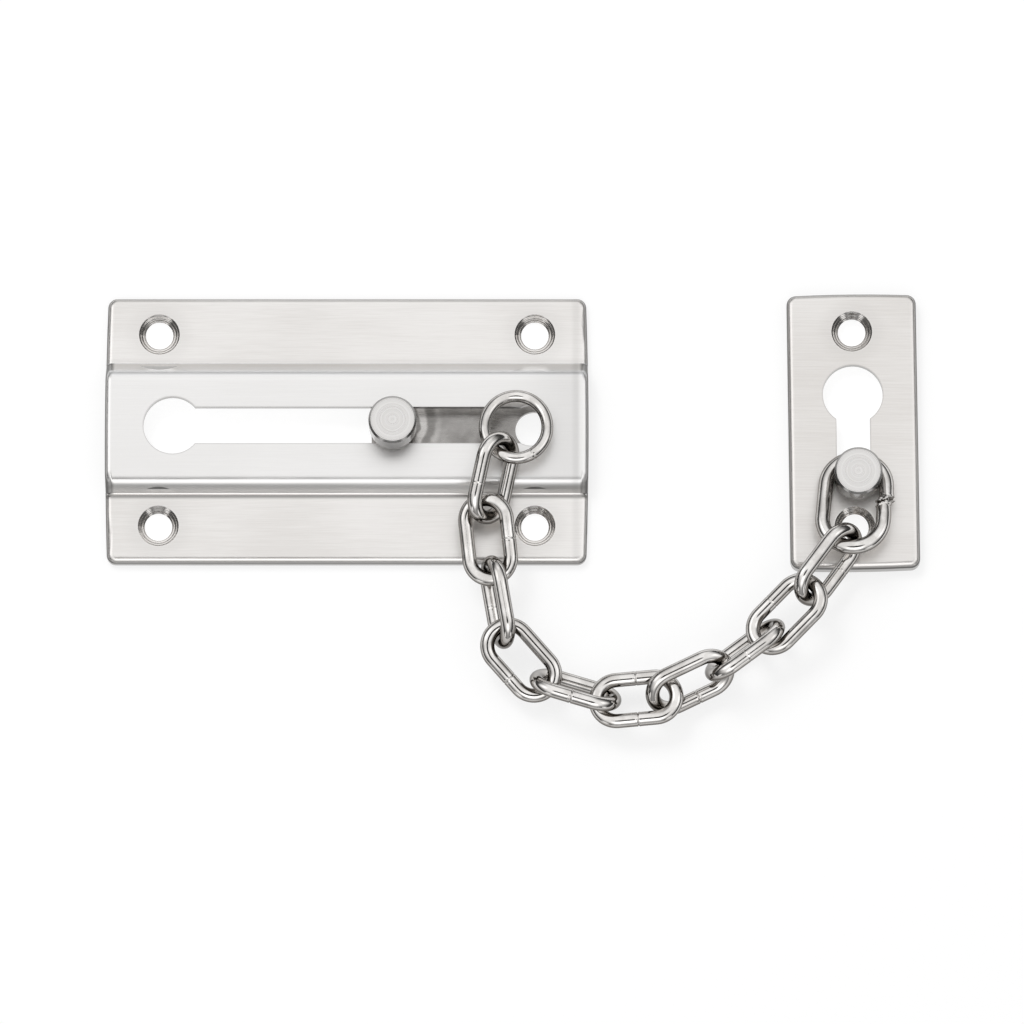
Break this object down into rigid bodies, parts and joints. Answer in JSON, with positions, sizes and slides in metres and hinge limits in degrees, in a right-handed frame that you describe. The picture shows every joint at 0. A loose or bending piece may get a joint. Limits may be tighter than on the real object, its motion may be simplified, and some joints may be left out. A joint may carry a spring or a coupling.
{
  "type": "door chain",
  "caption": "Steel door chain lying flat: slotted door plate with a sliding knob, oval links, and a keeper plate with a button.",
  "frame": {"origin": "centre of the door plate's screw pattern, on the plate's back", "axes": "+X along the door plate towards the keeper, +Y across it, +Z out of the plates"},
  "size_m": [0.1357, 0.0742, 0.0134],
  "materials": {
    "brushed_plate": "brushed along the door plate",
    "strip_steel": "plain rolled",
    "turned_steel": "turned, with fine rings",
    "polished_wire": "polished wire"
  },
  "bodies": {
    "door_plate": {"door_plate": "brushed_plate", "chain_ring": "polished_wire"},
    "slider": {"slider_strip": "strip_steel", "slider_knob": "turned_steel"},
    "chain_link_02": {"chain_link_02": "polished_wire"},
    "chain_link_03": {"chain_link_03": "polished_wire"},
    "chain_link_04": {"chain_link_04": "polished_wire"},
    "chain_link_05": {"chain_link_05": "polished_wire"},
    "chain_link_06": {"chain_link_06": "polished_wire"},
    "chain_link_07": {"chain_link_07": "polished_wire"},
    "chain_link_08": {"chain_link_08": "polished_wire"},
    "chain_link_09": {"chain_link_09": "polished_wire"},
    "chain_link_10": {"chain_link_10": "polished_wire"},
    "chain_link_11": {"chain_link_11": "polished_wire"},
    "end_link": {"end_link": "polished_wire"},
    "keeper_button": {"keeper_button": "turned_steel"},
    "keeper_plate": {"keeper_plate": "brushed_plate"}
  },
  "joints": [
    {"name": "knob_slide", "type": "slide", "parent": "door_plate", "child": "slider", "axis": [1, 0, 0], "range_m": [-0.0389, 0.0024]},
    {"name": "ring_swing", "type": "hinge", "parent": "door_plate", "child": "chain_link_02", "pos_m": [0.0274, -0.0019, 0.005], "axis": [0, 0, 1], "range_deg": [-11, 18]},
    {"name": "link_03_swing", "type": "hinge", "parent": "chain_link_02", "child": "chain_link_03", "pos_m": [0.0231, -0.0171, 0.005], "axis": [0, 0, -1], "range_deg": [-17, 14]},
    {"name": "link_04_swing", "type": "hinge", "parent": "chain_link_03", "child": "chain_link_04", "pos_m": [0.024, -0.0235, 0.005], "axis": [0, 0, 1], "range_deg": [-30, 30]},
    {"name": "link_05_swing", "type": "hinge", "parent": "chain_link_04", "child": "chain_link_05", "pos_m": [0.0263, -0.0365, 0.005], "axis": [0, 0, -1], "range_deg": [-28, 28]},
    {"name": "link_06_swing", "type": "hinge", "parent": "chain_link_05", "child": "chain_link_06", "pos_m": [0.0314, -0.0422, 0.005], "axis": [0, 0, 1], "range_deg": [-26, 22]},
    {"name": "link_07_swing", "type": "hinge", "parent": "chain_link_06", "child": "chain_link_07", "pos_m": [0.0447, -0.0464, 0.005], "axis": [0, 0, -1], "range_deg": [-20, 28]},
    {"name": "link_08_swing", "type": "hinge", "parent": "chain_link_07", "child": "chain_link_08", "pos_m": [0.0515, -0.0458, 0.005], "axis": [0, 0, 1], "range_deg": [-28, 25]},
    {"name": "link_09_swing", "type": "hinge", "parent": "chain_link_08", "child": "chain_link_09", "pos_m": [0.061, -0.0413, 0.005], "axis": [0, 0, -1], "range_deg": [-12, 14]},
    {"name": "link_10_swing", "type": "hinge", "parent": "chain_link_09", "child": "chain_link_10", "pos_m": [0.0713, -0.0347, 0.005], "axis": [0, 0, 1], "range_deg": [-16, 24]},
    {"name": "link_11_swing", "type": "hinge", "parent": "chain_link_10", "child": "chain_link_11", "pos_m": [0.0749, -0.0303, 0.005], "axis": [0, 0, -1], "range_deg": [-12, 9]},
    {"name": "end_link_swing", "type": "hinge", "parent": "chain_link_11", "child": "end_link", "pos_m": [0.0839, -0.0174, 0.005], "axis": [0, 0, 1], "range_deg": [-3, 6]},
    {"name": "button_turn", "type": "hinge", "parent": "end_link", "child": "keeper_button", "pos_m": [0.085, -0.00875, 0.005], "axis": [0, 0, -1], "range_deg": [-20, 25]},
    {"name": "keeper_slide", "type": "slide", "parent": "keeper_button", "child": "keeper_plate", "axis": [-0.0105, 0.9999, 0], "range_m": [-0.0138, 0]}
  ]
}
